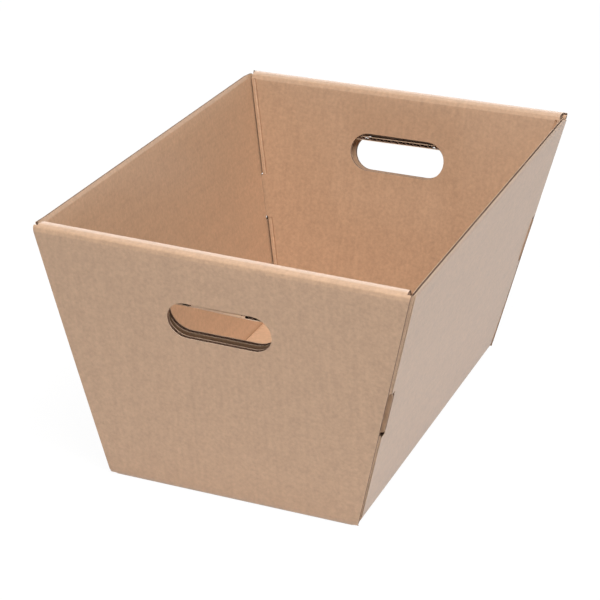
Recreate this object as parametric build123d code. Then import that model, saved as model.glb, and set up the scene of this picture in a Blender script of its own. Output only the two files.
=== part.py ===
"""Corrugated tote: one die-cut sheet of single-wall board, folded into an open tapered tray.

The floor carries two single-ply sides and two double-wall ends. Each end rises from the floor as an
outer panel, rolls over a flat rim and comes down inside as an inner panel. The sides end in corner
flaps, held between the two plies of each end, and tabs on the inner panels lock through notches in
the corner folds. A hand hole goes through both plies of each end, with a short creased tongue of the
outer ply pushed inward as its grip.

Frame: origin at the middle of the underside, +X across the ends, +Y from front to back, +Z up.
"""
import os
from math import atan2, cos, degrees, tan

from build123d import *

# Outer form (mm)
TOP_WIDTH = 344.5
END_TOP_WIDTH = 340.0
TOP_LENGTH = 491.5
BASE_WIDTH = 234.0
BASE_LENGTH = 397.5
HEIGHT = 245.0

# Board and folds
BOARD = 4.0
FOLD_INNER_RADIUS = 1.0
PLY_GAP = 2.0
RIM_GAP = 1.5
RIM_END_STEP = 5.5
RIM_END_TAPER = 1.0
SIDE_BELOW_RIM = 1.0
FLOOR_GAP = 1.0

# Corner flaps of the side panels
FLAP_LENGTH = 82.0
FLAP_LIFT = 6.0
FLAP_TAPER = 16.0
FLAP_CORNER_RADIUS = 14.0

# Inner end panels and their locking tabs
UPPER_EDGE_GAP = 4.5
LOWER_EDGE_GAP = 7.5
TAB_HEIGHT = 44.0
TAB_MIDDLE_HEIGHT = 120.0
TAB_REACH = 3.0
TAB_CORNER_RADIUS = 3.0
NOTCH_SPARE_BELOW = 4.0
NOTCH_SPARE_ABOVE = 1.0
NOTCH_CLEARANCE = 1.0
NOTCH_FLAP_DEPTH = 9.0

# Hand holes, measured in the plane of the end panel
HOLE_LENGTH = 95.5
HOLE_HEIGHT = 30.8
HOLE_BELOW_RIM = 64.8
INNER_HOLE_END_MARGIN = 5.0
INNER_HOLE_TOP_MARGIN = 5.0
TONGUE_LENGTH = 14.0
TONGUE_KERF = 0.5
FRONT_TONGUE_ANGLE = 48.0
BACK_TONGUE_ANGLE = 92.0

CUT_OVERRUN = 20.0

# Worked out from the sizes above
SIDE_LEAN = atan2((TOP_WIDTH - BASE_WIDTH) / 2, HEIGHT)
END_EDGE_LEAN = atan2((END_TOP_WIDTH - BASE_WIDTH) / 2, HEIGHT)
END_LEAN = atan2((TOP_LENGTH - BASE_LENGTH) / 2, HEIGHT)
FOLD_OUTER_RADIUS = FOLD_INNER_RADIUS + BOARD
END_WALL = 3 * BOARD + 2 * PLY_GAP
FLAP_OUTER_DEPTH = BOARD + PLY_GAP
FLAP_INNER_DEPTH = FLAP_OUTER_DEPTH + BOARD
INNER_PLY_DEPTH = FLAP_INNER_DEPTH + PLY_GAP
SIDE_TOP = HEIGHT - SIDE_BELOW_RIM
FLAP_TOP = HEIGHT - BOARD - RIM_GAP
TAB_BOTTOM = TAB_MIDDLE_HEIGHT - TAB_HEIGHT / 2
TAB_TOP = TAB_MIDDLE_HEIGHT + TAB_HEIGHT / 2
NOTCH_BOTTOM = TAB_BOTTOM - NOTCH_SPARE_BELOW
NOTCH_TOP = TAB_TOP + NOTCH_SPARE_ABOVE
CREASE_LENGTH = HOLE_LENGTH - HOLE_HEIGHT


def side_x(z, depth=0.0):
    """Half width at height z of the plane that lies `depth` inside the outer face of a side."""
    return BASE_WIDTH / 2 + z * tan(SIDE_LEAN) - depth / cos(SIDE_LEAN)


def end_edge_x(z):
    """Half width at height z of an end's outer panel, a little less than across the sides."""
    return BASE_WIDTH / 2 + z * tan(END_EDGE_LEAN)


def end_y(z, depth=0.0):
    """Half length at height z of the plane that lies `depth` inside the outer face of an end."""
    return BASE_LENGTH / 2 + z * tan(END_LEAN) - depth / cos(END_LEAN)


def mirrored(points):
    """Close a right-hand outline, listed from the bottom up, with its left-hand mirror image."""
    return points + [(-across, up) for across, up in reversed(points)]


def prism_along_y(points, bottom_radius=0.0):
    """Solid of an outline in the XZ plane, as long as the tote, its bottom corners rounded."""
    outline = make_face(Polyline(*points, close=True))
    if bottom_radius:
        outline = fillet(outline.vertices().group_by(Axis.Y)[0], bottom_radius)
    return extrude(Plane.XZ * outline, amount=TOP_LENGTH, both=True)


def prism_along_x(points):
    """Solid of an outline in the YZ plane, as wide as the tote."""
    return extrude(Plane.YZ * make_face(Polyline(*points, close=True)), amount=TOP_WIDTH, both=True)


def width_outline(bottom, top, depth):
    """Tapered XZ outline between two heights, `depth` inside the outer faces of the sides."""
    return mirrored([(side_x(bottom, depth), bottom), (side_x(top, depth), top)])


def between_sides(depth):
    """All that lies between two planes `depth` inside the sides, past the floor and the rim."""
    return prism_along_y(width_outline(-CUT_OVERRUN, HEIGHT + CUT_OVERRUN, depth))


def between_ends(depth):
    """All that lies between two planes `depth` inside the ends, past the floor and the rim."""
    bottom = -CUT_OVERRUN
    top = HEIGHT + CUT_OVERRUN
    return prism_along_x(mirrored([(end_y(bottom, depth), bottom), (end_y(top, depth), top)]))


def end_slab(bottom, top, outer_depth, inner_depth):
    """Leaning slab of the back end, between two heights and two depths behind its outer face."""
    return prism_along_x([
        (end_y(bottom, outer_depth), bottom),
        (end_y(top, outer_depth), top),
        (end_y(top, inner_depth), top),
        (end_y(bottom, inner_depth), bottom),
    ])


def both_ends(solid):
    """A solid of the back end, with its copy at the front end."""
    return solid + Rot(0, 0, 180) * solid


def sides_and_flaps():
    """Floor, two sides and four corner flaps, as a tapered shell that is cut back at its ends."""
    outside = prism_along_y(width_outline(0, SIDE_TOP, 0), FOLD_OUTER_RADIUS)
    outside &= between_ends(FLAP_OUTER_DEPTH)
    corner_folds = [edge for edge in outside.edges() if edge.bounding_box().size.Z > SIDE_TOP / 2]
    outside = fillet(corner_folds, FOLD_OUTER_RADIUS)
    inside = prism_along_y(width_outline(BOARD, HEIGHT, BOARD), FOLD_INNER_RADIUS)
    inside &= between_ends(FLAP_INNER_DEPTH)
    return outside - inside - between_flaps() - above_flaps() - below_flaps() - tab_notches()


def between_flaps():
    """Space between the blunt free edges of the two corner flaps of each end."""
    bottom = BOARD + FLAP_LIFT
    free_edge = make_face(Polyline(*mirrored([
        (side_x(bottom, FLAP_LENGTH - FLAP_TAPER), bottom),
        (side_x(bottom + FLAP_TAPER, FLAP_LENGTH), bottom + FLAP_TAPER),
        (side_x(FLAP_TOP - FLAP_TAPER, FLAP_LENGTH), FLAP_TOP - FLAP_TAPER),
        (side_x(FLAP_TOP, FLAP_LENGTH - FLAP_TAPER), FLAP_TOP),
        (side_x(FLAP_TOP, FLAP_LENGTH - FLAP_TAPER), FLAP_TOP + CUT_OVERRUN),
    ]), close=True))
    blunt_corners = free_edge.vertices().filter_by_position(
        Axis.Y, bottom + FLAP_TAPER / 2, FLAP_TOP - FLAP_TAPER / 2)
    free_edge = fillet(blunt_corners, FLAP_CORNER_RADIUS)
    return extrude(Plane.XZ * free_edge, amount=TOP_LENGTH, both=True)


def above_flaps():
    """Space between the rims and the tops of the corner flaps."""
    outer_depth = FLAP_OUTER_DEPTH - PLY_GAP / 2
    inner_depth = FLAP_INNER_DEPTH + PLY_GAP / 2
    band = end_slab(FLAP_TOP, HEIGHT + CUT_OVERRUN, outer_depth, inner_depth)
    return both_ends(band & between_sides(BOARD + FOLD_INNER_RADIUS))


def below_flaps():
    """Space under the lifted lower edges of the corner flaps."""
    outer_depth = FLAP_OUTER_DEPTH - PLY_GAP / 2
    inner_depth = FLAP_INNER_DEPTH + PLY_GAP / 2
    band = end_slab(-CUT_OVERRUN, BOARD + FLAP_LIFT, outer_depth, inner_depth)
    return both_ends(band & between_sides(BOARD + FOLD_INNER_RADIUS))


def tab_notches():
    """Four notches in the corner folds, longer than the tabs that lock through them."""
    band = end_slab(NOTCH_BOTTOM, NOTCH_TOP, BOARD, END_WALL + NOTCH_CLEARANCE)
    return both_ends(band - between_sides(BOARD + NOTCH_FLAP_DEPTH))


def board_face(inset, fold_radius):
    """One face of the strip in the YZ plane, from end to end, `inset` behind the outer face."""
    floor = inset
    rim = HEIGHT - inset
    inner_depth = END_WALL - inset
    inner_bottom = BOARD + FLOOR_GAP
    back_half = [
        (end_y(floor, inset), floor),
        (end_y(rim, inset), rim),
        (end_y(rim, inner_depth), rim),
        (end_y(inner_bottom, inner_depth), inner_bottom),
    ]
    front_half = [(-along, up) for along, up in reversed(back_half)]
    return FilletPolyline(*front_half, *back_half, radius=fold_radius)


def floor_and_ends():
    """Floor and both double-wall ends: one strip of board, rolled over at the rims."""
    outer = board_face(0, FOLD_OUTER_RADIUS)
    inner = board_face(BOARD, FOLD_INNER_RADIUS)
    section = make_face(outer + Line(outer @ 1, inner @ 1) + inner + Line(inner @ 0, outer @ 0))
    strip = extrude(Plane.YZ * section, amount=TOP_WIDTH, both=True)
    strip &= outer_form() + both_ends(tab_room()) + both_ends(panel_foot())
    return strip - both_ends(inner_panel_trim()) - both_ends(rim_end_trim())


def outer_form():
    """Outline that trims the strip: tapered to the sides, cut off at the side folds, open below."""
    foot = BASE_WIDTH / 2 - FOLD_OUTER_RADIUS
    low = -CUT_OVERRUN
    high = HEIGHT + CUT_OVERRUN
    return prism_along_y(mirrored([
        (foot + low * (1 + tan(END_EDGE_LEAN)), low),
        (end_edge_x(FOLD_OUTER_RADIUS), FOLD_OUTER_RADIUS),
        (end_edge_x(high), high),
    ]))


def panel_foot():
    """Room for the back end's outer panel to keep its lower corners square."""
    band = end_slab(-CUT_OVERRUN, 2 * FOLD_OUTER_RADIUS, -BOARD, FOLD_OUTER_RADIUS)
    low = -2 * CUT_OVERRUN
    high = HEIGHT
    return band & prism_along_y(mirrored([(end_edge_x(low), low), (end_edge_x(high), high)]))


def tab_room():
    """Room around the back end's locking tabs, where they reach out past the sides."""
    outer_depth = INNER_PLY_DEPTH - PLY_GAP / 2
    inner_depth = END_WALL + PLY_GAP / 2
    band = end_slab(NOTCH_BOTTOM, NOTCH_TOP, outer_depth, inner_depth)
    return band & between_sides(-2 * TAB_REACH)


def inner_panel_trim():
    """What is cut off beside the back end's inner panel, leaving its locking tabs."""
    upper = BOARD + UPPER_EDGE_GAP
    lower = BOARD + LOWER_EDGE_GAP
    panel = make_face(Polyline(*mirrored([
        (side_x(0, lower), 0),
        (side_x(TAB_BOTTOM, lower), TAB_BOTTOM),
        (side_x(TAB_BOTTOM, -TAB_REACH), TAB_BOTTOM),
        (side_x(TAB_TOP, -TAB_REACH), TAB_TOP),
        (side_x(TAB_TOP, upper), TAB_TOP),
        (side_x(HEIGHT, upper), HEIGHT),
    ]), close=True))
    tab_tips = [corner for corner in panel.vertices() if abs(corner.X) > side_x(corner.Y)]
    panel = fillet(tab_tips, TAB_CORNER_RADIUS)
    band = end_slab(BOARD + FLOOR_GAP / 2, FLAP_TOP, INNER_PLY_DEPTH - PLY_GAP / 2, END_WALL + PLY_GAP)
    return band - extrude(Plane.XZ * panel, amount=TOP_LENGTH, both=True)


def rim_end_trim():
    """What is cut off at both ends of the back end's rim, behind its crease, to clear the sides."""
    crease_depth = BOARD + RIM_GAP
    past_depth = crease_depth + 2 * END_WALL
    kept = make_face(Polyline(*mirrored([
        (side_x(HEIGHT, RIM_END_STEP + 2 * RIM_END_TAPER), end_y(HEIGHT, past_depth)),
        (side_x(HEIGHT, RIM_END_STEP), end_y(HEIGHT, crease_depth)),
    ]), close=True))
    band = end_slab(FLAP_TOP, HEIGHT + CUT_OVERRUN, crease_depth, END_WALL + PLY_GAP)
    return band - extrude(kept, amount=HEIGHT + 2 * CUT_OVERRUN)


def hole_plane():
    """Plane of the back end's outer face, at the middle of its hand hole, with its Y up the slope."""
    middle = HEIGHT - HOLE_BELOW_RIM * cos(END_LEAN)
    outward = Vector(0, 1, 0).rotate(Axis.X, -degrees(END_LEAN))
    return Plane(origin=(0, end_y(middle), middle), x_dir=(-1, 0, 0), z_dir=outward)


def hand_hole():
    """Cutter for the hand hole of the back end: the inner ply's hole is a little larger."""
    outer = Pos(0, 0, CUT_OVERRUN) * SlotOverall(HOLE_LENGTH, HOLE_HEIGHT)
    cutter = extrude(outer, amount=-CUT_OVERRUN - FLAP_OUTER_DEPTH)
    inner_length = HOLE_LENGTH + 2 * INNER_HOLE_END_MARGIN
    inner_height = HOLE_HEIGHT + INNER_HOLE_TOP_MARGIN
    inner = Pos(0, INNER_HOLE_TOP_MARGIN / 2, -FLAP_INNER_DEPTH) * SlotOverall(inner_length, inner_height)
    cutter += extrude(inner, amount=-CUT_OVERRUN)
    return hole_plane() * cutter


def grip_tongue(angle):
    """Upper part of the hole's blank, creased along the hole's top edge and pushed inward."""
    crease_height = HOLE_HEIGHT / 2
    blank = SlotOverall(HOLE_LENGTH - 2 * TONGUE_KERF, HOLE_HEIGHT - 2 * TONGUE_KERF)
    kept = Pos(0, crease_height - TONGUE_LENGTH / 2) * Rectangle(HOLE_LENGTH, TONGUE_LENGTH)
    root = Pos(0, crease_height - TONGUE_KERF) * Rectangle(CREASE_LENGTH, 2 * TONGUE_KERF)
    tongue = extrude((blank + root) & kept, amount=-BOARD)
    hinge = Axis((0, crease_height, -BOARD), (1, 0, 0))
    crease_section = Plane.XZ.offset(-crease_height) * Pos(0, -BOARD / 2) * Rectangle(CREASE_LENGTH, BOARD)
    bend = revolve(crease_section, hinge, revolution_arc=angle)
    return hole_plane() * (tongue.rotate(hinge, angle) + bend)


def folded_tote():
    """The whole folded sheet, as one solid."""
    tote = sides_and_flaps() + floor_and_ends()
    tote -= both_ends(hand_hole())
    tote += grip_tongue(BACK_TONGUE_ANGLE)
    tote += Rot(0, 0, 180) * grip_tongue(FRONT_TONGUE_ANGLE)
    return tote


os.makedirs("parts", exist_ok=True)
export_step(folded_tote().solid(), "parts/folded_tote.step")
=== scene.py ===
"""Corrugated tote, dressed as folded single-wall board.

Every panel is built as board is made: an outer and an inner liner of kraft paper with a fluted medium
between them. Each piece of board is drawn flat, as an outline with its holes, and then folded into place.
Flat coordinates are called across and along; depth counts from the board's middle, positive outward.
"""
from math import atan2, ceil, cos, floor, pi, radians, sin, tan

import bmesh
import bpy
import numpy as np
from mathutils import Matrix, Vector
from mathutils.geometry import delaunay_2d_cdt


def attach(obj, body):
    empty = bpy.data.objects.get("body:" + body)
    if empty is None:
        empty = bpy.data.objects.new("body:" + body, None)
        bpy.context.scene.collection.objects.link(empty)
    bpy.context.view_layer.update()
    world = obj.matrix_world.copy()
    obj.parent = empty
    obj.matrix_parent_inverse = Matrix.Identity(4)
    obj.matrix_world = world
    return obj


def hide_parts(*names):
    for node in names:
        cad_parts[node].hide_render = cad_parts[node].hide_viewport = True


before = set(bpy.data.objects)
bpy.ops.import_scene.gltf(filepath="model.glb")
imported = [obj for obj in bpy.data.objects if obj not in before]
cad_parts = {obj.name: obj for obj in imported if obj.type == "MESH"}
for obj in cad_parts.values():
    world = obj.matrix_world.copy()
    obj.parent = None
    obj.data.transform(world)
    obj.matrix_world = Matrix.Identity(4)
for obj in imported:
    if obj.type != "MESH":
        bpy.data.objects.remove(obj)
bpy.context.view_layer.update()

MM = 0.001

# Outer form, as in the solid model
TOP_WIDTH = 344.5 * MM
END_TOP_WIDTH = 340 * MM
TOP_LENGTH = 491.5 * MM
BASE_WIDTH = 234 * MM
BASE_LENGTH = 397.5 * MM
HEIGHT = 245 * MM
SIDE_LEAN = atan2((TOP_WIDTH - BASE_WIDTH) / 2, HEIGHT)
END_EDGE_LEAN = atan2((END_TOP_WIDTH - BASE_WIDTH) / 2, HEIGHT)
END_LEAN = atan2((TOP_LENGTH - BASE_LENGTH) / 2, HEIGHT)

# How far each top corner is drawn, in x and y, because the folded tote is a little out of square
FRONT_LEFT_DRAW = Vector((2.9, 8.07)) * MM
FRONT_RIGHT_DRAW = Vector((0, 0)) * MM
BACK_LEFT_DRAW = Vector((2.31, -6.09)) * MM
BACK_RIGHT_DRAW = Vector((-3.57, 0)) * MM

# Board: two liners with a fluted medium between them
BOARD = 4 * MM
LINER = 0.6 * MM
MEDIUM = 0.3 * MM
FLUTE_PITCH = 7.9 * MM
FLUTE_HEIGHT = (BOARD - 2 * LINER - MEDIUM) / 2

# Folds; the board is crushed thinner on their lines and at the two ends of a fold path
FOLD_RADIUS = 1.1 * MM
FOLD_OUTER_RADIUS = 5 * MM
CREASE_REACH = 4 * MM
CREASE_CRUSH = 0.45

# Fineness of the drawn board
FLUTE_STEPS = 10
FOLD_STEPS = 6
CREASE_LINE_SHARES = (0.5, 0.75, 1)
PANEL_STEP = 24 * MM
LINE_REACH = 0.7
WELD_DISTANCE = 1e-7
LINER_SHARP_ANGLE = radians(35)
FLUTE_SHARP_ANGLE = radians(50)

# Plies of the ends, measured inward from the outer face
PLY_GAP = 2 * MM
END_WALL = 3 * BOARD + 2 * PLY_GAP
FLAP_MIDDLE_DEPTH = 1.5 * BOARD + PLY_GAP
FLOOR_GAP = 1 * MM

# Open runs of the fold paths, longer than the board that is drawn on them
FLOOR_RUN = 40 * MM
SIDE_RUN = 60 * MM
FLAP_RUN = 120 * MM

# Upper edges; a side dips at its corners, keyed by right 1 or left -1, then back 1 or front -1
SIDE_TOP = HEIGHT - 1 * MM
CORNER_DIPS = {(1, 1): 4 * MM, (-1, 1): 1.5 * MM, (1, -1): 0.5 * MM, (-1, -1): -0.4 * MM}
CORNER_DIP_LENGTH = 16 * MM
FLAP_TOP = HEIGHT - BOARD - 1.5 * MM
RIM_END_STEP = 5.5 * MM
RIM_END_TAPER = 1 * MM

# Where the inner panels bow out between the corner flaps, towards the outer panels
FRONT_PANEL_BOW = 4 * MM
BACK_PANEL_BOW = 2 * MM
BOW_RISE = 58 * MM
BOW_FLAT_HALF = 46 * MM
BOW_HALF = 76 * MM
BOW_BELOW_HOLE = 22 * MM
BOW_FADE = 60 * MM
BOW_STEP = 3 * MM

# Corner flaps
FLAP_LENGTH = 82 * MM
FLAP_LIFT = 6 * MM
FLAP_TAPER = 16 * MM
FLAP_CORNER_RADIUS = 14 * MM
FLAP_FOOT_RADIUS = 2 * MM

# Gaps beside the inner panels, above and below the tabs, and the score along those edges
UPPER_EDGE_GAP = 1.2 * MM
LOWER_EDGE_GAP = 1.5 * MM
SCORE_PLACE = 3.6 * MM
SCORE_HALF = 1.3 * MM
SCORE_CRUSH = 0.55
SCORE_END_MARGIN = 1 * MM

# Locking tabs, and the notches they pass through
TAB_BOTTOM = 100 * MM
TAB_TOP = 142 * MM
FRONT_TAB_REACH = 0.4 * MM
BACK_TAB_REACH = 0.8 * MM
TAB_CORNER_RADIUS = 3 * MM
NOTCH_BOTTOM = TAB_BOTTOM - 4 * MM
NOTCH_TOP = TAB_TOP + 1 * MM
FLAP_NOTCH_BOTTOM = TAB_BOTTOM - 2 * MM
NOTCH_SIDE_DEPTH = END_WALL + 1 * MM
NOTCH_FLAP_DEPTH = BOARD + 9 * MM

# Hand holes, which are a little larger in the inner panels
HOLE_LENGTH = 95.5 * MM
HOLE_HEIGHT = 35 * MM
FRONT_HOLE_BELOW_RIM = 66.8 * MM
BACK_HOLE_BELOW_RIM = 69.8 * MM
INNER_HOLE_END_MARGIN = 2.5 * MM
FRONT_INNER_HOLE_TOP_MARGIN = 5 * MM
BACK_INNER_HOLE_TOP_MARGIN = 3.5 * MM

# Grip tongues; angles are those of the right and left ends, seen from outside, and shifts go outward and up
FRONT_TONGUE_LENGTH = 14 * MM
BACK_TONGUE_LENGTH = 9 * MM
FRONT_TONGUE_CREASE_HALF = 25 * MM
BACK_TONGUE_CREASE_HALF = 33 * MM
FRONT_TONGUE_PINCH_REACH = 0 * MM
BACK_TONGUE_PINCH_REACH = 6 * MM
TONGUE_KERF = 0.5 * MM
TONGUE_STEPS = 9
TONGUE_PINCH = 0.75
FRONT_TONGUE_ANGLES = (radians(62), radians(52))
FRONT_TONGUE_SHIFT = Vector((3.2, 0.8)) * MM
BACK_TONGUE_ANGLES = (radians(92), radians(98))
BACK_TONGUE_SHIFT = Vector((0, 0)) * MM

# Papers, and the places of two of them in the liners' list of materials
KRAFT_COLOUR = (0.518, 0.33, 0.208)
CUT_COLOUR = (0.6, 0.44, 0.31)
# The medium's colour is far darker than the kraft: partly its own slightly darker tone, mostly painted
# shade of the open flutes, also used on the liners' flute sides
MEDIUM_WITH_FLUTE_SHADE_COLOUR = (0.23, 0.13, 0.085)
CUT_PAPER = 1
MEDIUM_SHADE_PAPER = 2
PAPER_IOR = 1.56
PAPER_RELIEF = 0.3 * MM
CLOUD_SCALE = 90
FIBRE_SCALE = 330
STREAK_SCALE = (260, 9, 1)
NOISE_MIDDLE = 0.5

# Floor and surroundings; part of the floor's white is its own, for the camera and in gloss
FLOOR_SIZE = 30
FLOOR_DROP = 0.5 * MM
FLOOR_GREY = 0.91
FLOOR_ROUGHNESS = 0.9
FLOOR_GLOW = 1.03
FLOOR_GLOW_SHARE = 0.94
SURROUND_WHITE = 1.5
LIGHT_AIM = Vector((0, 0, 0.1))

# Camera of the photograph, with angles in radians, and lens and sensor in millimetres
CAMERA_AZIMUTH = 0.371
CAMERA_ELEVATION = 0.4207
CAMERA_ROLL = 0.0232
CAMERA_PLACE = Vector((0.6034, -1.5958, 0.8733))
CAMERA_LENS = 119.8
CAMERA_SENSOR = 36


def side_x(z, depth=0.0):
    """Half width at height z of the plane that lies `depth` inside the outer face of a side."""
    return BASE_WIDTH / 2 + z * tan(SIDE_LEAN) - depth / cos(SIDE_LEAN)


def end_edge_x(z):
    """Half width at height z of the outer panel of an end."""
    return BASE_WIDTH / 2 + z * tan(END_EDGE_LEAN)


def end_y(z, depth=0.0):
    """Half length at height z of the plane that lies `depth` inside the outer face of an end."""
    return BASE_LENGTH / 2 + z * tan(END_LEAN) - depth / cos(END_LEAN)


def racked(point):
    """Where a point of the square tote goes when its top corners are drawn in."""
    x, y, z = point
    rightward = x / END_TOP_WIDTH + 0.5
    backward = y / TOP_LENGTH + 0.5
    front = FRONT_LEFT_DRAW.lerp(FRONT_RIGHT_DRAW, rightward)
    back = BACK_LEFT_DRAW.lerp(BACK_RIGHT_DRAW, rightward)
    drawn = front.lerp(back, backward) * z / HEIGHT
    return (x + drawn.x, y + drawn.y, z)


def smooth(share):
    """Ease a share between 0 and 1 so that it starts and ends level."""
    return share * share * (3 - 2 * share)


class FoldPath:
    """Middle line of folded board in a plane: straight runs joined by bends of one radius."""

    def __init__(self, corners, radius):
        corners = [Vector(corner) for corner in corners]
        self.runs = []
        self.bends = []
        length = 0.0
        point = corners[0]
        for before, corner, after in zip(corners, corners[1:], corners[2:]):
            arriving = (corner - before).normalized()
            leaving = (after - corner).normalized()
            turn = atan2(arriving.x * leaving.y - arriving.y * leaving.x, arriving.dot(leaving))
            setback = radius * tan(abs(turn) / 2)
            start = corner - arriving * setback
            run = (start - point).length
            self.runs.append((length, run, point, arriving, 0.0))
            length += run
            bend = radius * abs(turn)
            self.runs.append((length, bend, start, arriving, turn / bend))
            self.bends.append((length, length + bend))
            length += bend
            point = corner + leaving * setback
        leaving = (corners[-1] - corners[-2]).normalized()
        run = (corners[-1] - point).length
        self.runs.append((length, run, point, leaving, 0.0))
        self.length = length + run
        self.crush_lines = [0.0, self.length] + [(first + last) / 2 for first, last in self.bends]

    def at(self, distance):
        """Point on the middle line and direction there, `distance` from its start."""
        run = self.runs[0]
        for later in self.runs[1:]:
            if distance >= later[0]:
                run = later
        start, _, point, direction, curvature = run
        travelled = distance - start
        if curvature == 0.0:
            return point + direction * travelled, direction
        turned = Matrix.Rotation(curvature * travelled, 2) @ direction
        chord = turned - direction
        return point + Vector((chord.y, -chord.x)) / curvature, turned

    def place(self, distance, depth):
        """Point `depth` out from the middle line, on its right-hand side; creases are crushed thinner."""
        point, direction = self.at(distance)
        outward = Vector((direction.y, -direction.x))
        return point + outward * depth * (1 - CREASE_CRUSH * self.crease(distance))

    def crease(self, distance):
        """How far a place belongs to a crease or a crushed edge: 1 on its line, 0 past its reach."""
        nearest = min(abs(distance - line) for line in self.crush_lines)
        return smooth(max(0.0, 1 - nearest / CREASE_REACH))

    def reach(self, run, height):
        """Distance along the path at which the numbered straight run is at a height."""
        start, _, point, direction, _ = self.runs[run]
        return start + (height - point.y) / direction.y

    def bend_lines(self):
        """Distances at which the board needs a line across it to bend smoothly."""
        lines = []
        for first, last in self.bends:
            lines += [first + (last - first) * step / FOLD_STEPS for step in range(FOLD_STEPS + 1)]
        for line in self.crush_lines:
            for share in CREASE_LINE_SHARES:
                lines += [line - share * CREASE_REACH, line + share * CREASE_REACH]
        return [line for line in lines if 0 < line < self.length]


def rounded(corners, steps=5):
    """Outline through (across, along, radius) corners, each rounded by its own radius."""
    outline = []
    count = len(corners)
    for index, (across, along, radius) in enumerate(corners):
        corner = Vector((across, along))
        if radius == 0.0:
            outline.append(corner)
            continue
        back = (Vector(corners[index - 1][:2]) - corner).normalized()
        ahead = (Vector(corners[(index + 1) % count][:2]) - corner).normalized()
        half = back.angle(ahead) / 2
        setback = radius / tan(half)
        centre = corner + (back + ahead).normalized() * radius / sin(half)
        first = corner + back * setback - centre
        sweep = first.angle_signed(corner + ahead * setback - centre)
        for step in range(steps + 1):
            outline.append(centre + Matrix.Rotation(-sweep * step / steps, 2) @ first)
    return outline


def mirrored(right_half):
    """Close a right-hand outline with its left-hand mirror image."""
    return right_half + [(-corner[0],) + tuple(corner[1:]) for corner in reversed(right_half)]


def stadium(along, length, height, steps=18):
    """Outline of a hand hole: a straight slot with round ends."""
    radius = height / 2
    outline = []
    for side, first in ((1, -pi / 2), (-1, pi / 2)):
        for step in range(steps + 1):
            angle = first + pi * step / steps
            outline.append(Vector((side * (length / 2 - radius) + radius * cos(angle),
                                   along + radius * sin(angle))))
    return outline


def inside(points, loops):
    """Which points lie inside the outline and outside its holes."""
    within = np.zeros(len(points), dtype=bool)
    for loop in loops:
        ring = np.array([tuple(corner) for corner in loop])
        for start, end in zip(ring, np.roll(ring, -1, axis=0)):
            crosses = (start[1] > points[:, 1]) != (end[1] > points[:, 1])
            rise = end[1] - start[1]
            if rise == 0.0:
                continue
            limit = start[0] + (points[:, 1] - start[1]) * (end[0] - start[0]) / rise
            within ^= crosses & (points[:, 0] < limit)
    return within


def lines_at(values, direction):
    """Long straight lines across the flat board, where `direction` measures each of the values."""
    normal = Vector(direction)
    run = Vector((-normal.y, normal.x)) * LINE_REACH
    return [(normal * value - run, normal * value + run) for value in values]


def spaced(low, high, step):
    """Whole multiples of a step between two limits."""
    return [step * index for index in range(ceil(low / step), floor(high / step) + 1)]


def flat_triangles(loops, lines):
    """Triangles of the flat board, cut along its outlines and along the given lines."""
    points = []
    edges = []
    for loop in loops:
        first = len(points)
        points += loop
        edges += [(first + index, first + (index + 1) % len(loop)) for index in range(len(loop))]
    for start, end in lines:
        edges.append((len(points), len(points) + 1))
        points += [start, end]
    points, _, faces, _, _, _ = delaunay_2d_cdt(points, edges, [], 0, WELD_DISTANCE, False)
    points = np.array([tuple(point) for point in points])
    faces = np.array([face for face in faces if len(face) == 3])
    faces = faces[inside(points[faces].mean(axis=1), loops)]
    used = np.unique(faces)
    renumbered = np.zeros(len(points), dtype=int)
    renumbered[used] = np.arange(len(used))
    return points[used], renumbered[faces]


class Board:
    """A flat outline with holes, the way it folds, and the direction that counts its flutes."""

    def __init__(self, loops, fold, flute_direction, fold_lines):
        self.loops = loops
        self.square_fold = fold
        self.flute_direction = Vector(flute_direction)
        self.fold_lines = fold_lines
        ring = np.array([tuple(corner) for corner in loops[0]])
        self.low = ring.min(axis=0)
        self.high = ring.max(axis=0)

    def fold(self, across, along, depth):
        """Place in the folded tote of a point of the flat board."""
        return racked(self.square_fold(across, along, depth))

    def panel_lines(self):
        """Lines of a coarse grid that keeps the liners' triangles compact."""
        lines = lines_at(spaced(self.low[0], self.high[0], PANEL_STEP), (1, 0))
        return lines + lines_at(spaced(self.low[1], self.high[1], PANEL_STEP), (0, 1))

    def flute_lines(self):
        """Lines along the flutes, close enough together to draw the waves."""
        corners = [self.flute_direction.dot(Vector((across, along)))
                   for across in (self.low[0], self.high[0]) for along in (self.low[1], self.high[1])]
        step = FLUTE_PITCH / FLUTE_STEPS
        return lines_at(spaced(min(corners), max(corners), step), self.flute_direction)


def add_liner(bm, board, low, high):
    """Add one liner of a board, between two depths, as a closed thin sheet with its cut edges.

    The side that faces the board's middle is the flutes' side.
    """
    points, faces = flat_triangles(board.loops, board.fold_lines + board.panel_lines())
    blank = bm.loops.layers.uv["blank"]
    across_flutes = board.flute_direction
    along_flutes = Vector((-across_flutes.y, across_flutes.x))
    places = [(across_flutes.dot(Vector(point)), along_flutes.dot(Vector(point))) for point in points]
    layers = [[bm.verts.new(board.fold(across, along, depth)) for across, along in points]
              for depth in (low, high)]
    edge_faces = {}
    for face in faces:
        for start, end in zip(face, np.roll(face, -1)):
            edge_faces.setdefault((min(start, end), max(start, end)), []).append((start, end))
    for layer, order, depth in zip(layers, (-1, 1), (low, high)):
        for face in faces:
            sheet = bm.faces.new([layer[index] for index in face[::order]])
            sheet.smooth = True
            # Faces towards the board's middle take the medium's paper, darkened with painted shade of the
            # flute hollows
            if abs(depth) < BOARD / 2:
                sheet.material_index = MEDIUM_SHADE_PAPER
            for corner, index in zip(sheet.loops, face[::order]):
                corner[blank].uv = places[index]
    for sides in edge_faces.values():
        if len(sides) == 1:
            start, end = sides[0]
            cut = bm.faces.new([layers[0][start], layers[0][end], layers[1][end], layers[1][start]])
            cut.material_index = CUT_PAPER
            cut.smooth = True
            for corner, index in zip(cut.loops, (start, end, end, start)):
                corner[blank].uv = places[index]


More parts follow.
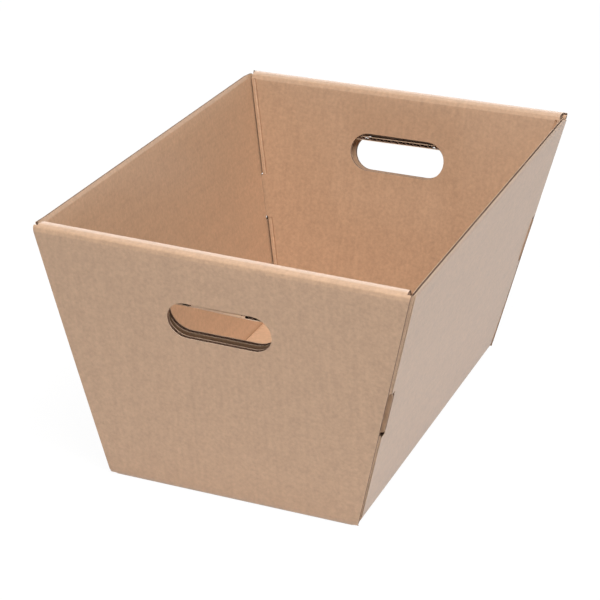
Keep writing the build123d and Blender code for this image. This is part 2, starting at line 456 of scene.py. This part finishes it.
def liners(name, boards):
    """Outer and inner liners of some boards, as one piece."""
    bm = bmesh.new()
    bm.loops.layers.uv.new("blank")
    for board in boards:
        add_liner(bm, board, BOARD / 2 - LINER, BOARD / 2)
        add_liner(bm, board, -BOARD / 2, -BOARD / 2 + LINER)
    bmesh.ops.recalc_face_normals(bm, faces=bm.faces)
    mesh = bpy.data.meshes.new(name)
    bm.to_mesh(mesh)
    bm.free()
    mesh.set_sharp_from_angle(angle=LINER_SHARP_ANGLE)
    piece = bpy.data.objects.new(name, mesh)
    bpy.context.scene.collection.objects.link(piece)
    for material in (kraft_liner, cut_liner, medium_with_flute_shade):
        mesh.materials.append(material)
    return piece


def flutes(name, boards):
    """Fluted medium of some boards: flat sheets, waved by the flute tree and given their thickness."""
    vertices = []
    triangles = []
    count = []
    outward = []
    for board in boards:
        points, faces = flat_triangles(board.loops, board.fold_lines + board.flute_lines())
        triangles += [[int(index) + len(vertices) for index in face] for face in faces]
        for across, along in points:
            middle = Vector(board.fold(across, along, 0.0))
            vertices.append(middle)
            outward.append((Vector(board.fold(across, along, BOARD / 2)) - middle) / (BOARD / 2))
            count.append(board.flute_direction.dot(Vector((across, along))) / FLUTE_PITCH)
    mesh = bpy.data.meshes.new(name)
    mesh.from_pydata(vertices, [], triangles)
    mesh.attributes.new("flute_count", "FLOAT", "POINT").data.foreach_set("value", count)
    mesh.attributes.new("outward", "FLOAT_VECTOR", "POINT").data.foreach_set(
        "vector", [number for direction in outward for number in direction])
    flat = bpy.data.objects.new(name + "_flat", mesh)
    bpy.context.scene.collection.objects.link(flat)
    waving = flat.modifiers.new("waving", "NODES")
    waving.node_group = flute_tree
    waving[socket_of(flute_tree, "Flute Height")] = FLUTE_HEIGHT
    waving[socket_of(flute_tree, "Medium Material")] = medium_with_flute_shade
    thickness = flat.modifiers.new("thickness", "SOLIDIFY")
    thickness.thickness = MEDIUM
    thickness.offset = 0.0
    return settled(flat, name)


def settled(flat, name):
    """The evaluated shape of an object with modifiers, as a plain piece; the object itself goes."""
    evaluated = flat.evaluated_get(bpy.context.evaluated_depsgraph_get())
    mesh = bpy.data.meshes.new_from_object(evaluated)
    mesh.name = name
    mesh.shade_smooth()
    mesh.set_sharp_from_angle(angle=FLUTE_SHARP_ANGLE)
    piece = bpy.data.objects.new(name, mesh)
    bpy.context.scene.collection.objects.link(piece)
    bpy.data.objects.remove(flat)
    return piece


def socket_of(tree, name):
    """Identifier of a tree's named input."""
    for item in tree.interface.items_tree:
        if item.item_type == "SOCKET" and item.in_out == "INPUT" and item.name == name:
            return item.identifier


def make_flute_tree():
    """Geometry tree that lifts a flat sheet into sine flutes along its own outward directions."""
    tree = bpy.data.node_groups.new("flute_waves", "GeometryNodeTree")
    tree.interface.new_socket("Sheet", in_out="INPUT", socket_type="NodeSocketGeometry")
    tree.interface.new_socket("Flute Height", in_out="INPUT", socket_type="NodeSocketFloat")
    tree.interface.new_socket("Medium Material", in_out="INPUT", socket_type="NodeSocketMaterial")
    tree.interface.new_socket("Medium", in_out="OUTPUT", socket_type="NodeSocketGeometry")
    nodes = tree.nodes
    join = tree.links.new
    given = nodes.new("NodeGroupInput")
    result = nodes.new("NodeGroupOutput")
    count = nodes.new("GeometryNodeInputNamedAttribute")
    count.data_type = "FLOAT"
    count.inputs["Name"].default_value = "flute_count"
    outward = nodes.new("GeometryNodeInputNamedAttribute")
    outward.data_type = "FLOAT_VECTOR"
    outward.inputs["Name"].default_value = "outward"
    phase = nodes.new("ShaderNodeMath")
    phase.operation = "MULTIPLY"
    phase.inputs[1].default_value = 2 * pi
    wave = nodes.new("ShaderNodeMath")
    wave.operation = "SINE"
    height = nodes.new("ShaderNodeMath")
    height.operation = "MULTIPLY"
    lift = nodes.new("ShaderNodeVectorMath")
    lift.operation = "SCALE"
    raise_sheet = nodes.new("GeometryNodeSetPosition")
    realize = nodes.new("GeometryNodeRealizeInstances")
    dress = nodes.new("GeometryNodeSetMaterial")
    join(count.outputs["Attribute"], phase.inputs[0])
    join(phase.outputs[0], wave.inputs[0])
    join(wave.outputs[0], height.inputs[0])
    join(given.outputs["Flute Height"], height.inputs[1])
    join(outward.outputs["Attribute"], lift.inputs[0])
    join(height.outputs[0], lift.inputs["Scale"])
    join(given.outputs["Sheet"], raise_sheet.inputs["Geometry"])
    join(lift.outputs[0], raise_sheet.inputs["Offset"])
    join(raise_sheet.outputs[0], realize.inputs[0])
    join(realize.outputs[0], dress.inputs["Geometry"])
    join(given.outputs["Medium Material"], dress.inputs["Material"])
    join(dress.outputs[0], result.inputs[0])
    return tree


# Paths of the folded board, and the numbers of the straight runs that are asked for by name

cradle_path = FoldPath([
    (-side_x(SIDE_TOP, BOARD / 2), SIDE_TOP),
    (-side_x(BOARD / 2, BOARD / 2), BOARD / 2),
    (side_x(BOARD / 2, BOARD / 2), BOARD / 2),
    (side_x(SIDE_TOP, BOARD / 2), SIDE_TOP),
], FOLD_RADIUS)
RIGHT_SIDE = 4

floor_corner = end_y(BOARD / 2, BOARD / 2)
rim_level = HEIGHT - BOARD / 2
inner_bottom = BOARD + FLOOR_GAP
end_path = FoldPath([
    (floor_corner - FLOOR_RUN, BOARD / 2),
    (floor_corner, BOARD / 2),
    (end_y(rim_level, BOARD / 2), rim_level),
    (end_y(rim_level, END_WALL - BOARD / 2), rim_level),
    (end_y(inner_bottom, END_WALL - BOARD / 2), inner_bottom),
], FOLD_RADIUS)
OUTER_PANEL = 2
INNER_PANEL = 6
floor_bend, outer_rim_bend, inner_rim_bend = end_path.bends
inner_panel_start = inner_rim_bend[1]
FLOOR_END = end_path.runs[0][2].x + end_path.runs[0][1]

# Corner fold of the right side at the back: where the middle planes of side and flap meet


def corner_point(z):
    """Point of the corner fold's axis at height z."""
    return Vector((side_x(z, BOARD / 2), end_y(z, FLAP_MIDDLE_DEPTH), z))


corner_start = corner_point(0.0)
corner_axis = (corner_point(HEIGHT) - corner_start).normalized()
side_slope = Vector((sin(SIDE_LEAN), 0, cos(SIDE_LEAN)))
toward_flap = (Vector((0, 1, 0)) - corner_axis * corner_axis.y).normalized()
inward = corner_axis.cross(toward_flap)
flap_run = (Vector((-1, 0, 0)) + corner_axis * corner_axis.x).normalized()
flap_path = FoldPath([
    (-SIDE_RUN, 0),
    (0, 0),
    (flap_run.dot(toward_flap) * FLAP_RUN, flap_run.dot(inward) * FLAP_RUN),
], FOLD_RADIUS)
FLAP_BEND_START, FLAP_BEND_END = flap_path.bends[0]
BEND_SETBACK = SIDE_RUN - FLAP_BEND_START


def flap_flat(x, z):
    """Flat coordinates of a point of the flap's middle plane."""
    offset = Vector((x, end_y(z, FLAP_MIDDLE_DEPTH), z)) - corner_start
    along_axis = offset.dot(corner_axis)
    away = (offset - corner_axis * along_axis).length
    return along_axis, FLAP_BEND_END + away - BEND_SETBACK


def flap_fold(flip_x, flip_y):
    """Folding of the corner flap at one of the four corners."""
    def fold(axial, distance, depth):
        spot = flap_path.place(distance, depth)
        point = corner_start + corner_axis * axial + toward_flap * spot.x + inward * spot.y
        return (point.x * flip_x, point.y * flip_y, point.z)
    return fold


def flap_board(flip_x, flip_y):
    """Corner bend and flap of one corner, notched where a tab locks through it."""
    low = BOARD + FLAP_LIFT

    def bend_edge(z):
        return (corner_point(z) - corner_start).dot(corner_axis), FLAP_BEND_START, 0.0

    def on_flap(z, depth, radius=0.0):
        return flap_flat(side_x(z, depth), z) + (radius,)

    corners = [
        bend_edge(FOLD_OUTER_RADIUS),
        on_flap(low, BOARD + FOLD_RADIUS, FLAP_FOOT_RADIUS),
        on_flap(low, FLAP_LENGTH - FLAP_TAPER, FLAP_FOOT_RADIUS),
        on_flap(low + FLAP_TAPER, FLAP_LENGTH, FLAP_CORNER_RADIUS),
        on_flap(FLAP_TOP - FLAP_TAPER, FLAP_LENGTH, FLAP_CORNER_RADIUS),
        on_flap(FLAP_TOP, FLAP_LENGTH - FLAP_TAPER),
        on_flap(FLAP_TOP, BOARD + FOLD_RADIUS),
        bend_edge(SIDE_TOP - CORNER_DIPS[flip_x, flip_y]),
        bend_edge(NOTCH_TOP),
        on_flap(NOTCH_TOP, NOTCH_FLAP_DEPTH),
        on_flap(FLAP_NOTCH_BOTTOM, NOTCH_FLAP_DEPTH),
        bend_edge(FLAP_NOTCH_BOTTOM),
    ]
    tilt = atan2(toward_flap.dot(side_slope), toward_flap.y)
    return Board([rounded(corners)], flap_fold(flip_x, flip_y), (cos(tilt), sin(tilt)),
                 lines_at(flap_path.bend_lines(), (0, 1)))


def cradle_board():
    """Floor and both sides in one sheet, drawn up to the corner bends and notched beside the tabs."""
    def at_bend(z):
        axial = (corner_point(z) - corner_start).dot(corner_axis)
        edge = corner_start + corner_axis * axial - toward_flap * BEND_SETBACK
        return edge.y, cradle_path.reach(RIGHT_SIDE, z)

    def in_notch(z):
        return end_y(z, NOTCH_SIDE_DEPTH), cradle_path.reach(RIGHT_SIDE, z)

    def corner_run(flip_x, flip_y):
        top_edge, top = at_bend(SIDE_TOP)
        run = [
            (FLOOR_END, cradle_path.bends[1][0]),
            at_bend(FOLD_OUTER_RADIUS),
            at_bend(NOTCH_BOTTOM),
            in_notch(NOTCH_BOTTOM),
            in_notch(NOTCH_TOP),
            at_bend(NOTCH_TOP),
            at_bend(SIDE_TOP - CORNER_DIPS[flip_x, flip_y]),
            (top_edge - CORNER_DIP_LENGTH, top),
        ]
        if flip_x < 0:
            run = [(along, cradle_path.length - across) for along, across in run]
        return [(along * flip_y, across, 0.0) for along, across in run]

    back = corner_run(-1, 1)[::-1] + corner_run(1, 1)
    front = corner_run(1, -1)[::-1] + corner_run(-1, -1)
    outline = rounded(back + front)

    def fold(along, across, depth):
        spot = cradle_path.place(across, depth)
        return (spot.x, along, spot.y)

    return Board([outline], fold, (0, 1), lines_at(cradle_path.bend_lines(), (0, 1)))


def eased(value, low, high):
    """Smooth step from 0 at a low value to 1 at a high one."""
    return smooth(min(max((value - low) / (high - low), 0.0), 1.0))


def inner_edge(along):
    """Half width of the inner panel at a distance along the end's path, or None beside a tab."""
    z = end_path.at(along)[0].y
    if z > TAB_TOP:
        return side_x(z, BOARD + UPPER_EDGE_GAP)
    if z < TAB_BOTTOM:
        return side_x(z, BOARD + LOWER_EDGE_GAP)
    return None


def score_lines():
    """Lines of the flat board along the scores beside the inner panel's cut edges."""
    lines = []
    high = end_path.reach(INNER_PANEL, FLAP_TOP)
    tab_high = end_path.reach(INNER_PANEL, TAB_TOP) - SCORE_END_MARGIN
    tab_low = end_path.reach(INNER_PANEL, TAB_BOTTOM) + SCORE_END_MARGIN
    for start, end in ((high, tab_high), (tab_low, end_path.length - SCORE_END_MARGIN)):
        for away in (SCORE_PLACE - SCORE_HALF, SCORE_PLACE, SCORE_PLACE + SCORE_HALF):
            for side in (-1, 1):
                lines.append((Vector((side * (inner_edge(start) - away), start)),
                              Vector((side * (inner_edge(end) - away), end))))
    return lines


class HandHoles:
    """The outer and inner hand holes of one end, placed along the end's path."""

    def __init__(self, below_rim, top_margin):
        middle = HEIGHT - below_rim * cos(END_LEAN)
        self.outer = end_path.reach(OUTER_PANEL, middle + BOARD / 2 * sin(END_LEAN))
        opposite = middle + (END_WALL - BOARD / 2) * sin(END_LEAN)
        self.inner = end_path.reach(INNER_PANEL, opposite + top_margin / 2 * cos(END_LEAN))
        self.inner_height = HOLE_HEIGHT + top_margin


def end_fold(facing, holes, bow):
    """Folding of the back end's board, or of the front end's when facing is -1."""
    bow_end = holes.inner + BOW_BELOW_HOLE

    def fold(across, along, depth):
        if along > inner_panel_start:
            edge = inner_edge(along)
            if edge is not None:
                off_score = abs(edge - abs(across) - SCORE_PLACE) / SCORE_HALF
                depth *= 1 - SCORE_CRUSH * max(0.0, 1 - off_score)
        spot = end_path.place(along, depth)
        lengthwise = eased(along, inner_panel_start, inner_panel_start + BOW_RISE)
        lengthwise -= eased(along, bow_end, bow_end + BOW_FADE)
        spot.x += bow * lengthwise * eased(-abs(across), -BOW_HALF, -BOW_FLAT_HALF)
        return (across * facing, spot.x * facing, spot.y)
    return fold


def end_board(facing, holes, bow, tab_reach):
    """One end: outer panel, rolled rim and inner panel with its locking tabs, with both hand holes."""
    def edge_at(along):
        return end_edge_x(end_path.at(along)[0].y)

    def width_at(along, depth):
        return side_x(end_path.at(along)[0].y, depth)

    inner_high = end_path.reach(INNER_PANEL, FLAP_TOP)
    tab_high = end_path.reach(INNER_PANEL, TAB_TOP)
    tab_low = end_path.reach(INNER_PANEL, TAB_BOTTOM)
    upper = BOARD + UPPER_EDGE_GAP
    lower = BOARD + LOWER_EDGE_GAP
    right = [
        (edge_at(floor_bend[0]), floor_bend[0], 0.0),
        (edge_at(floor_bend[1]), floor_bend[1], 0.0),
        (edge_at(outer_rim_bend[0]), outer_rim_bend[0], 0.0),
        (edge_at(outer_rim_bend[1]), outer_rim_bend[1], 0.0),
        (width_at(outer_rim_bend[1], RIM_END_STEP), outer_rim_bend[1], 0.0),
        (width_at(inner_rim_bend[0], RIM_END_STEP + RIM_END_TAPER), inner_rim_bend[0], 0.0),
        (width_at(inner_high, upper), inner_high, 0.0),
        (width_at(tab_high, upper), tab_high, 0.0),
        (width_at(tab_high, -tab_reach), tab_high, TAB_CORNER_RADIUS),
        (width_at(tab_low, -tab_reach), tab_low, TAB_CORNER_RADIUS),
        (width_at(tab_low, lower), tab_low, 0.0),
        (width_at(end_path.length, lower), end_path.length, 0.0),
    ]
    loops = [
        rounded(mirrored(right)),
        stadium(holes.outer, HOLE_LENGTH, HOLE_HEIGHT),
        stadium(holes.inner, HOLE_LENGTH + 2 * INNER_HOLE_END_MARGIN, holes.inner_height),
    ]
    bow_end = holes.inner + BOW_BELOW_HOLE
    lines = lines_at(end_path.bend_lines(), (0, 1)) + score_lines()
    lines += lines_at([inner_panel_start + step for step in spaced(BOW_STEP, BOW_RISE, BOW_STEP)], (0, 1))
    lines += lines_at([bow_end + step for step in spaced(0.0, BOW_FADE, BOW_STEP)], (0, 1))
    for side in (-1, 1):
        lines += lines_at([side * step for step in spaced(BOW_FLAT_HALF, BOW_HALF, BOW_STEP)], (1, 0))
    return Board(loops, end_fold(facing, holes, bow), (1, 0), lines)


def tongue_board(facing, holes, length, crease_half, pinch_reach, angles, shift):
    """Grip tongue of one end: the top of the hole's blank, creased along the hole and pushed inward.

    The two angles are those at its right and left ends, seen from outside. Its right end is also
    shifted, outward and up, from where the crease would hold it.
    """
    middle, slope = end_path.at(holes.outer)
    outward = Vector((slope.y, -slope.x))
    crease = middle + slope * HOLE_HEIGHT / 2
    hinge = crease - outward * BOARD / 2
    bend = BOARD / 2 * max(angles)
    radius = HOLE_HEIGHT / 2
    straight_half = HOLE_LENGTH / 2 - radius
    outline = [(crease_half, 0.0, 0.0), (crease_half, bend + TONGUE_KERF, 0.0)]
    for step in range(TONGUE_STEPS + 1):
        drop = TONGUE_KERF + (length - TONGUE_KERF) * step / TONGUE_STEPS
        reach = straight_half + (radius ** 2 - (radius - drop) ** 2) ** 0.5 - TONGUE_KERF
        outline.append((reach, bend + drop, 0.0))

    def fold(across, distance, depth):
        leftward = min(max(across / crease_half, -1.0), 1.0) / 2 + 0.5
        angle = angles[0] + (angles[1] - angles[0]) * leftward
        turned = angle * min(distance / bend, 1.0)
        swing = Matrix.Rotation(-turned, 2)
        pinched = depth * (1 - TONGUE_PINCH * max(0.0, 1 - distance / (bend + pinch_reach)))
        spot = hinge + swing @ (outward * (BOARD / 2 + pinched) - slope * max(distance - bend, 0.0))
        spot += (outward * shift.x + slope * shift.y) * (1 - leftward) * min(distance / bend, 1.0)
        return (across * facing, spot.x * facing, spot.y)

    lines = lines_at([bend * step / FOLD_STEPS for step in range(FOLD_STEPS + 1)], (0, 1))
    return Board([rounded(mirrored(outline))], fold, (1, 0), lines)


# Materials


def make_kraft_fibre():
    """Shader group for kraft paper: pulp clouds, fibres, and streaks where the flutes show through."""
    group = bpy.data.node_groups.new("kraft_fibre", "ShaderNodeTree")
    group.interface.new_socket("Colour", in_out="INPUT", socket_type="NodeSocketColor")
    for name in ("Cloud Strength", "Fibre Strength", "Streak Strength"):
        group.interface.new_socket(name, in_out="INPUT", socket_type="NodeSocketFloat")
    group.interface.new_socket("Colour", in_out="OUTPUT", socket_type="NodeSocketColor")
    group.interface.new_socket("Height", in_out="OUTPUT", socket_type="NodeSocketFloat")
    nodes = group.nodes
    join = group.links.new
    given = nodes.new("NodeGroupInput")
    result = nodes.new("NodeGroupOutput")
    place = nodes.new("ShaderNodeTexCoord")
    blank = nodes.new("ShaderNodeUVMap")
    blank.uv_map = "blank"
    stretch = nodes.new("ShaderNodeVectorMath")
    stretch.operation = "MULTIPLY"
    stretch.inputs[1].default_value = STREAK_SCALE
    join(blank.outputs["UV"], stretch.inputs[0])

    def noise(scale, detail, roughness, vector):
        texture = nodes.new("ShaderNodeTexNoise")
        texture.inputs["Scale"].default_value = scale
        texture.inputs["Detail"].default_value = detail
        texture.inputs["Roughness"].default_value = roughness
        join(vector, texture.inputs["Vector"])
        return texture.outputs["Fac"]

    clouds = noise(CLOUD_SCALE, detail=4, roughness=0.6, vector=place.outputs["Object"])
    fibres = noise(FIBRE_SCALE, detail=2, roughness=0.6, vector=place.outputs["Object"])
    streaks = noise(1, detail=2, roughness=0.5, vector=stretch.outputs[0])
    patterns = ((clouds, "Cloud Strength"), (fibres, "Fibre Strength"), (streaks, "Streak Strength"))
    total = None
    for pattern, strength in patterns:
        centred = nodes.new("ShaderNodeMath")
        centred.operation = "SUBTRACT"
        centred.inputs[1].default_value = NOISE_MIDDLE
        join(pattern, centred.inputs[0])
        add = nodes.new("ShaderNodeMath")
        add.operation = "MULTIPLY_ADD"
        join(centred.outputs[0], add.inputs[0])
        join(given.outputs[strength], add.inputs[1])
        add.inputs[2].default_value = 1.0
        if total is not None:
            join(total, add.inputs[2])
        total = add.outputs[0]
    shade = nodes.new("ShaderNodeVectorMath")
    shade.operation = "SCALE"
    join(given.outputs["Colour"], shade.inputs[0])
    join(total, shade.inputs["Scale"])
    join(shade.outputs[0], result.inputs["Colour"])
    join(total, result.inputs["Height"])
    return group


def paper(name, colour, cloud, fibre, streak, roughness, bump):
    """Material of one of the board's papers."""
    material = bpy.data.materials.new(name)
    material.use_nodes = True
    nodes = material.node_tree.nodes
    join = material.node_tree.links.new
    surface = nodes["Principled BSDF"]
    surface.inputs["Roughness"].default_value = roughness
    surface.inputs["IOR"].default_value = PAPER_IOR
    fibres = nodes.new("ShaderNodeGroup")
    fibres.node_tree = kraft_fibre
    fibres.inputs["Colour"].default_value = colour + (1,)
    fibres.inputs["Cloud Strength"].default_value = cloud
    fibres.inputs["Fibre Strength"].default_value = fibre
    fibres.inputs["Streak Strength"].default_value = streak
    relief = nodes.new("ShaderNodeBump")
    relief.inputs["Strength"].default_value = bump
    relief.inputs["Distance"].default_value = PAPER_RELIEF
    join(fibres.outputs["Colour"], surface.inputs["Base Color"])
    join(fibres.outputs["Height"], relief.inputs["Height"])
    join(relief.outputs["Normal"], surface.inputs["Normal"])
    return material


kraft_fibre = make_kraft_fibre()
kraft_liner = paper("kraft_liner", KRAFT_COLOUR,
                    cloud=0.22, fibre=0.45, streak=0.16, roughness=0.36, bump=0.25)
cut_liner = paper("cut_liner", CUT_COLOUR,
                  cloud=0.2, fibre=0.3, streak=0.0, roughness=0.8, bump=0.3)
# Medium paper, darkened past its own tone with painted shade of the open flutes
medium_with_flute_shade = paper("medium_with_flute_shade", MEDIUM_WITH_FLUTE_SHADE_COLOUR,
                      cloud=0.2, fibre=0.3, streak=0.0, roughness=0.85, bump=0.3)

# Pieces

front_holes = HandHoles(FRONT_HOLE_BELOW_RIM, FRONT_INNER_HOLE_TOP_MARGIN)
back_holes = HandHoles(BACK_HOLE_BELOW_RIM, BACK_INNER_HOLE_TOP_MARGIN)
flute_tree = make_flute_tree()
cradle_boards = [cradle_board()]
for flip_x, flip_y in ((1, 1), (1, -1), (-1, 1), (-1, -1)):
    cradle_boards.append(flap_board(flip_x, flip_y))
back_boards = [
    end_board(1, back_holes, BACK_PANEL_BOW, BACK_TAB_REACH),
    tongue_board(1, back_holes, BACK_TONGUE_LENGTH, BACK_TONGUE_CREASE_HALF, BACK_TONGUE_PINCH_REACH,
                 BACK_TONGUE_ANGLES, BACK_TONGUE_SHIFT),
]
front_boards = [
    end_board(-1, front_holes, FRONT_PANEL_BOW, FRONT_TAB_REACH),
    tongue_board(-1, front_holes, FRONT_TONGUE_LENGTH, FRONT_TONGUE_CREASE_HALF, FRONT_TONGUE_PINCH_REACH,
                 FRONT_TONGUE_ANGLES, FRONT_TONGUE_SHIFT),
]
pieces = []
for name, boards in (("cradle", cradle_boards), ("back_end", back_boards), ("front_end", front_boards)):
    pieces.append(liners(name + "_liners", boards))
    pieces.append(flutes(name + "_flutes", boards))
for piece in pieces:
    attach(piece, "root")
    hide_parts("folded_tote")


# Stage, light and camera

def make_floor():
    """Wide pale floor that reads as white paper and takes a faint shadow."""
    bm = bmesh.new()
    bmesh.ops.create_grid(bm, x_segments=1, y_segments=1, size=FLOOR_SIZE)
    mesh = bpy.data.meshes.new("paper_floor")
    bm.to_mesh(mesh)
    bm.free()
    floor_object = bpy.data.objects.new("paper_floor", mesh)
    floor_object.location.z = -FLOOR_DROP
    bpy.context.scene.collection.objects.link(floor_object)
    material = bpy.data.materials.new("paper_floor")
    material.use_nodes = True
    nodes = material.node_tree.nodes
    join = material.node_tree.links.new
    surface = nodes["Principled BSDF"]
    surface.inputs["Base Color"].default_value = (FLOOR_GREY, FLOOR_GREY, FLOOR_GREY, 1)
    surface.inputs["Roughness"].default_value = FLOOR_ROUGHNESS
    surface.inputs["Specular IOR Level"].default_value = 0.0
    white = nodes.new("ShaderNodeEmission")
    white.inputs["Strength"].default_value = FLOOR_GLOW
    ray = nodes.new("ShaderNodeLightPath")
    share = nodes.new("ShaderNodeMath")
    share.operation = "MULTIPLY"
    share.inputs[1].default_value = FLOOR_GLOW_SHARE
    mix = nodes.new("ShaderNodeMixShader")
    seen = nodes.new("ShaderNodeMath")
    seen.operation = "MAXIMUM"
    join(ray.outputs["Is Camera Ray"], seen.inputs[0])
    join(ray.outputs["Is Glossy Ray"], seen.inputs[1])
    join(seen.outputs[0], share.inputs[0])
    join(share.outputs[0], mix.inputs["Fac"])
    join(surface.outputs[0], mix.inputs[1])
    join(white.outputs[0], mix.inputs[2])
    join(mix.outputs[0], nodes["Material Output"].inputs["Surface"])
    mesh.materials.append(material)
    return floor_object


def make_world():
    """White surroundings for the camera and for the paper's gloss only; they light nothing else."""
    world = bpy.data.worlds.new("studio")
    bpy.context.scene.world = world
    world.use_nodes = True
    nodes = world.node_tree.nodes
    join = world.node_tree.links.new
    background = nodes["Background"]
    background.inputs["Color"].default_value = (1, 1, 1, 1)
    ray = nodes.new("ShaderNodeLightPath")
    level = nodes.new("ShaderNodeMapRange")
    level.inputs["To Min"].default_value = 0.0
    level.inputs["To Max"].default_value = SURROUND_WHITE
    seen = nodes.new("ShaderNodeMath")
    seen.operation = "MAXIMUM"
    join(ray.outputs["Is Camera Ray"], seen.inputs[0])
    join(ray.outputs["Is Glossy Ray"], seen.inputs[1])
    join(seen.outputs[0], level.inputs["Value"])
    join(level.outputs["Result"], background.inputs["Strength"])


def softbox(name, place, size, power):
    """Square soft light at a place, turned to the tote."""
    light = bpy.data.lights.new(name, "AREA")
    light.shape = "SQUARE"
    light.size = size
    light.energy = power
    lamp = bpy.data.objects.new(name, light)
    lamp.location = place
    lamp.rotation_euler = (LIGHT_AIM - Vector(place)).to_track_quat("-Z", "Y").to_euler()
    bpy.context.scene.collection.objects.link(lamp)


def make_camera():
    """Camera at the photograph's viewing angle."""
    back = Vector((sin(CAMERA_AZIMUTH) * cos(CAMERA_ELEVATION),
                   -cos(CAMERA_AZIMUTH) * cos(CAMERA_ELEVATION),
                   sin(CAMERA_ELEVATION)))
    right = (-back).cross(Vector((0, 0, 1))).normalized()
    up = back.cross(right)
    turned_right = right * cos(CAMERA_ROLL) + up * sin(CAMERA_ROLL)
    turned_up = up * cos(CAMERA_ROLL) - right * sin(CAMERA_ROLL)
    camera = bpy.data.cameras.new("camera")
    camera.lens = CAMERA_LENS
    camera.sensor_width = CAMERA_SENSOR
    camera.sensor_fit = "HORIZONTAL"
    camera_object = bpy.data.objects.new("camera", camera)
    axes = Matrix((turned_right, turned_up, back)).transposed().to_4x4()
    camera_object.matrix_world = Matrix.Translation(CAMERA_PLACE) @ axes
    bpy.context.scene.collection.objects.link(camera_object)
    bpy.context.scene.camera = camera_object


make_floor()
make_world()
softbox("key_softbox", place=(0.86, -1.08, 2.95), size=1.8, power=132)
softbox("back_softbox", place=(-1.0, 2.2, 1.15), size=1.8, power=11)
softbox("front_softbox", place=(0.2, -2.4, 0.35), size=1.0, power=4)
make_camera()
bpy.context.scene.view_settings.view_transform = "Standard"
